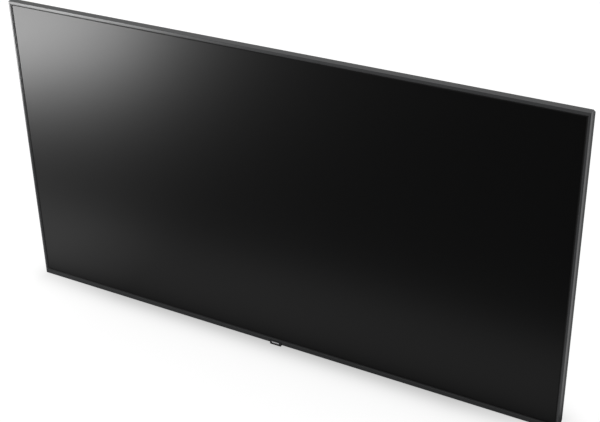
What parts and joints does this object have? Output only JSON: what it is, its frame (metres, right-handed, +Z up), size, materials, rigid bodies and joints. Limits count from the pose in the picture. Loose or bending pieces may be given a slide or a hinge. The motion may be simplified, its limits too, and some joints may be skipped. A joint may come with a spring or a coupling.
{
  "type": "digital signage display",
  "caption": "Flat wall-mounted signage display: dark matte screen in a thin mitred charcoal frame, sensor tab and jog key below, vented rear cover with recessed socket bays.",
  "frame": {"origin": "centre of the wall-mount hole pattern, on the plane of the mount bushes' rear ends", "axes": "+Z up, the screen faces -Y, +X to the viewer's right"},
  "size_m": [1.68, 0.0619, 0.9622],
  "materials": {
    "frame_finish": "satin charcoal",
    "key_metal": "sawn extrusion",
    "gasket_rubber": "smooth black",
    "screen_surface": "anti-glare, faint broad reflections",
    "cell_glass": "dark laminated glass",
    "guide_plastic": "moulded",
    "diffuser_plastic": "translucent white",
    "reflector_white": "bright white",
    "lens_clear": "clear moulded",
    "pan_steel": "zinc-coated sheet",
    "bush_steel": "turned, plated",
    "screw_black": "black oxide",
    "cover_plastic": "fine moulded grain",
    "tab_plastic": "satin moulded",
    "board_laminate": "solder-masked circuit board",
    "film_amber": "polyimide film",
    "link_white": "moulded",
    "socket_metal": "nickel-plated shell",
    "socket_plastic": "moulded",
    "switch_plastic": "moulded",
    "sink_aluminium": "extruded",
    "winding": "taped winding",
    "can_aluminium": "sleeved can",
    "driver_cone": "pulp cone",
    "window_plastic": "smoked",
    "inlay_metal": "satin, bare",
    "sensor_epoxy": "moulded",
    "light_epoxy": "moulded",
    "jog_plastic": "moulded",
    "lead_sheath": "flexible sheath"
  },
  "bodies": {
    "display": {"frame_rail_top": "frame_finish", "frame_rail_left": "frame_finish", "frame_rail_right": "frame_finish", "frame_rail_bottom": "frame_finish", "corner_keys": "key_metal", "panel_gasket": "gasket_rubber", "antiglare_film": "screen_surface", "lcd_cell": "cell_glass", "panel_guide": "guide_plastic", "diffuser_sheet": "diffuser_plastic", "prism_sheet": "diffuser_plastic", "diffuser_plate": "diffuser_plastic", "reflector_tray": "reflector_white", "plate_supports": "reflector_white", "led_bars": "reflector_white", "led_lenses": "lens_clear", "backlight_pan": "pan_steel", "mount_rails": "pan_steel", "connector_plate": "pan_steel", "wireless_shield": "pan_steel", "mount_bushes": "bush_steel", "stand_bushes": "bush_steel", "board_standoffs": "bush_steel", "board_screws": "bush_steel", "cover_screws": "screw_black", "rear_cover": "cover_plastic", "speaker_boxes": "cover_plastic", "tab_housing": "tab_plastic", "main_board": "board_laminate", "power_board": "board_laminate", "timing_board": "board_laminate", "source_boards": "board_laminate", "sensor_board": "board_laminate", "cell_films": "film_amber", "timing_ribbons": "film_amber", "bar_links": "link_white", "led_header": "link_white", "hdmi_sockets": "socket_metal", "displayport_socket": "socket_metal", "usb_sockets": "socket_metal", "lan_socket": "socket_metal", "jack_sockets": "socket_plastic", "mains_inlet": "socket_plastic", "rocker_frame": "socket_plastic", "jog_base": "socket_plastic", "processor_sink": "sink_aluminium", "power_transformers": "winding", "power_capacitors": "can_aluminium", "speaker_drivers": "driver_cone", "sensor_window": "window_plastic", "tab_inlay": "inlay_metal", "remote_sensor": "sensor_epoxy", "status_light": "light_epoxy", "tab_lead": "lead_sheath", "speaker_leads": "lead_sheath", "power_lead": "lead_sheath"},
    "jog_ring": {"jog_ring": "jog_plastic"},
    "jog_stick": {"jog_stick": "jog_plastic"},
    "jog_knob": {"jog_knob": "jog_plastic"},
    "rocker": {"rocker_key": "switch_plastic"}
  },
  "joints": [
    {"name": "jog_fore_aft", "type": "hinge", "parent": "display", "child": "jog_ring", "pos_m": [0, -0.0486, -0.4783], "axis": [1, 0, 0], "range_deg": [-5, 5], "stiffness_Nm_per_rad": 0.05},
    {"name": "jog_left_right", "type": "hinge", "parent": "jog_ring", "child": "jog_stick", "pos_m": [0, -0.0486, -0.4783], "axis": [0, 1, 0], "range_deg": [-5, 5], "stiffness_Nm_per_rad": 0.05},
    {"name": "jog_press", "type": "slide", "parent": "jog_stick", "child": "jog_knob", "axis": [0, 0, 1], "range_m": [0, 0.0005], "stiffness_N_per_m": 600, "springref_m": -0.001},
    {"name": "rocker_tilt", "type": "hinge", "parent": "display", "child": "rocker", "pos_m": [-0.361, -0.0145, -0.1089], "axis": [0, -1, 0], "range_deg": [0, 20]}
  ]
}
